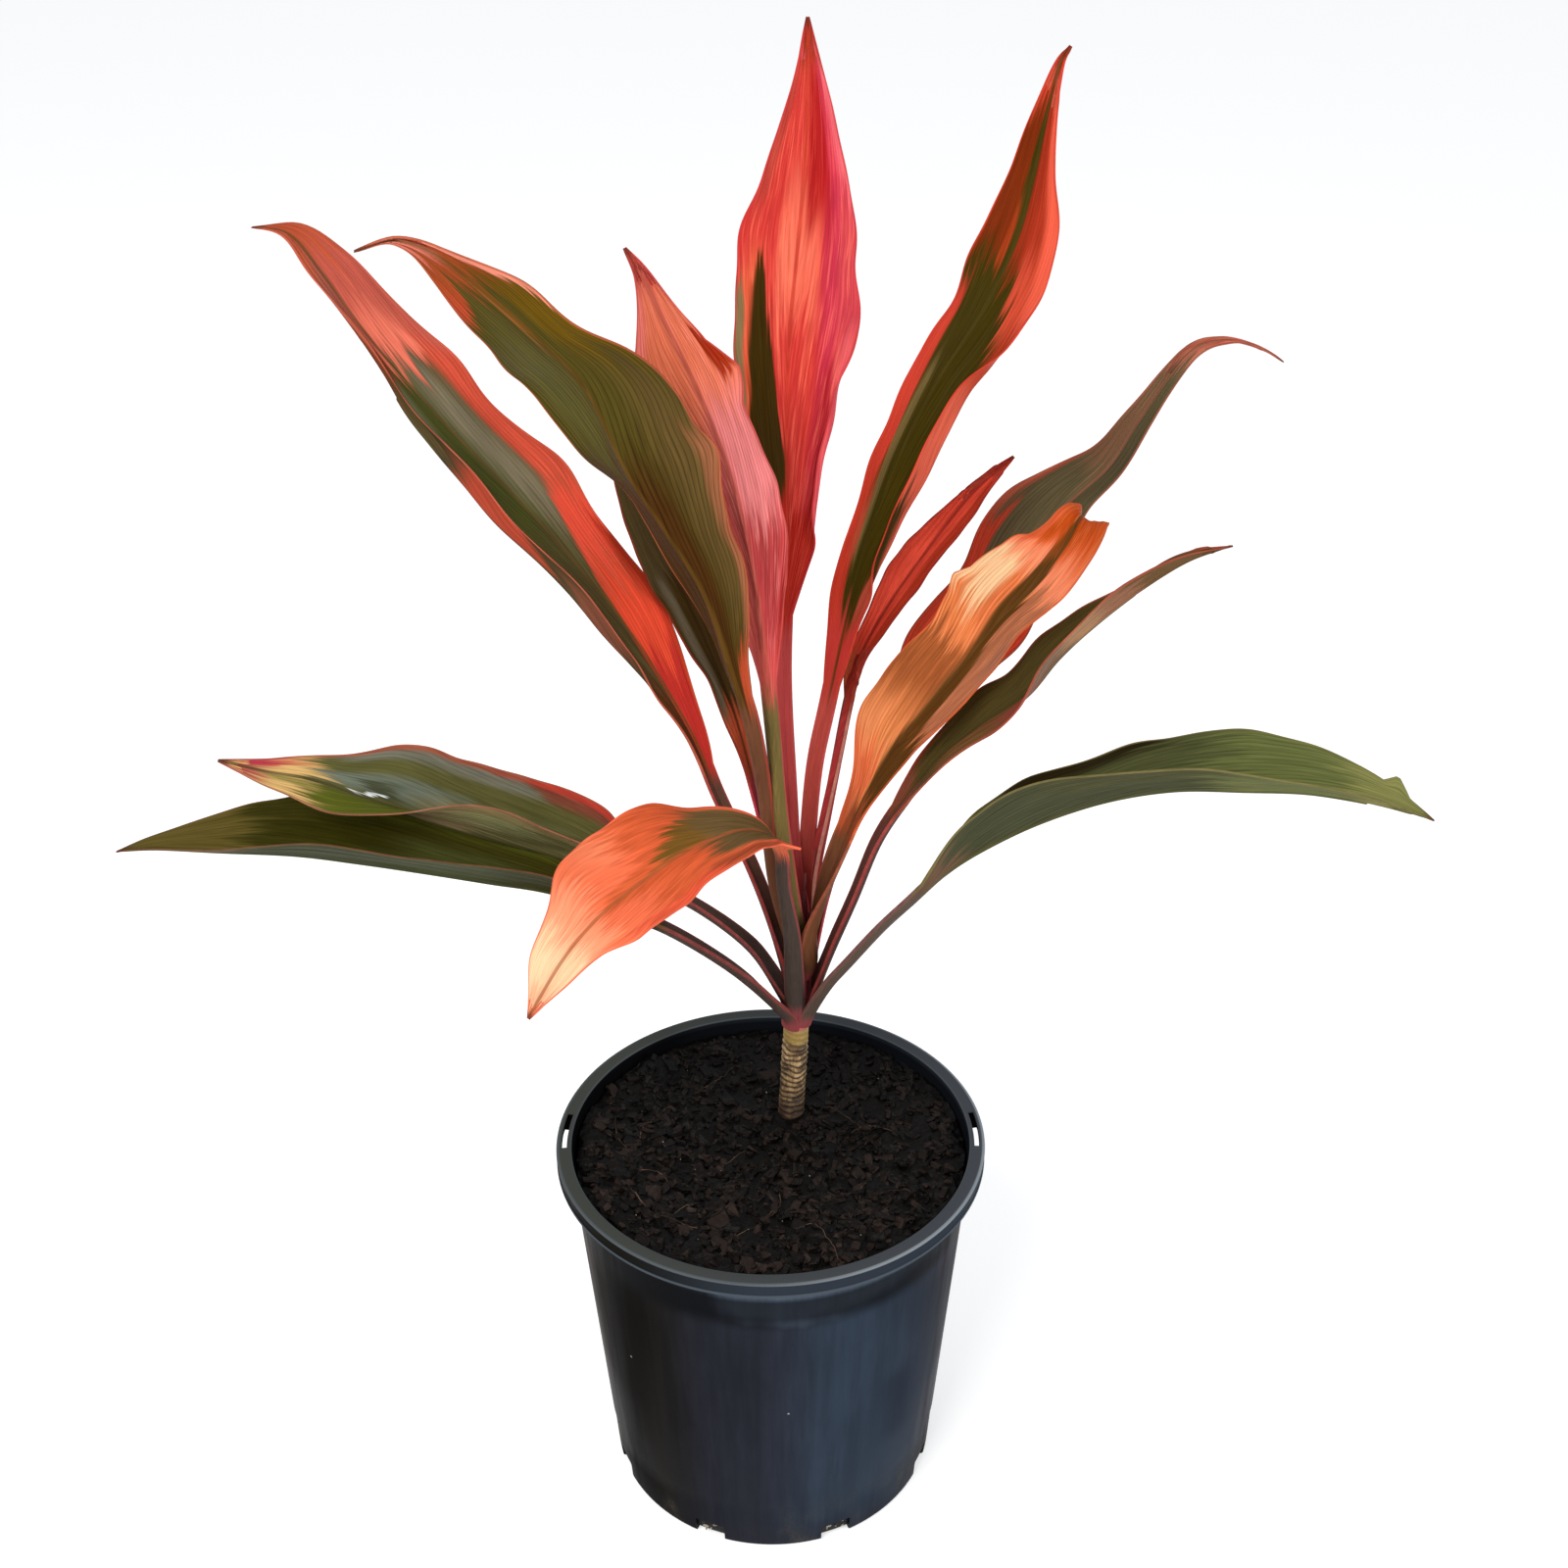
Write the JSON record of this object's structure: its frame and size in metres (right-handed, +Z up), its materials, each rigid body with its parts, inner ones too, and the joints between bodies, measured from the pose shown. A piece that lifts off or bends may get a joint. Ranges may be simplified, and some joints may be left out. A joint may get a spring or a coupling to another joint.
{
  "type": "potted ti plant",
  "caption": "Ti plant with long red, coral and olive leaves on petioles round a short ringed cane, standing in bark mix in a round black nursery pot.",
  "frame": {"origin": "middle of the pot's flat underside", "axes": "+Z up along the pot's axis; +X to the right and -Y towards the viewer of the picture"},
  "size_m": [0.5503, 0.2426, 0.6651],
  "materials": {
    "black_plastic": "satin moulded plastic with dust and light scuffs",
    "bark_mix": "damp dark bark chips and peat with pale root fibres",
    "cane_bark": "tan, ringed with dark leaf scars",
    "variegated_leaf": "semi-gloss, coral red with dark green centre streaks",
    "olive_leaf": "semi-gloss olive with fine parallel veins and red margins",
    "dark_leaf": "semi-gloss, near-black green with red margins",
    "red_leaf": "semi-gloss crimson to salmon pink with fine veins",
    "orange_leaf": "semi-gloss orange to peach with darker streaks"
  },
  "bodies": {
    "root": {"pot": "black_plastic", "potting_mix": "bark_mix", "cane": "cane_bark", "leaf_far_left": "variegated_leaf", "leaf_upper_right": "variegated_leaf", "leaf_olive": "olive_leaf", "leaf_low_right": "olive_leaf", "leaf_low_left": "olive_leaf", "leaf_dark_back": "dark_leaf", "leaf_dark_right": "dark_leaf", "leaf_narrow_right": "dark_leaf", "leaf_lowest_left": "dark_leaf", "leaf_pink_upright": "red_leaf", "leaf_top_red": "red_leaf", "leaf_small_red": "red_leaf", "leaf_orange_folded": "orange_leaf", "leaf_front_orange": "orange_leaf"}
  },
  "joints": []
}
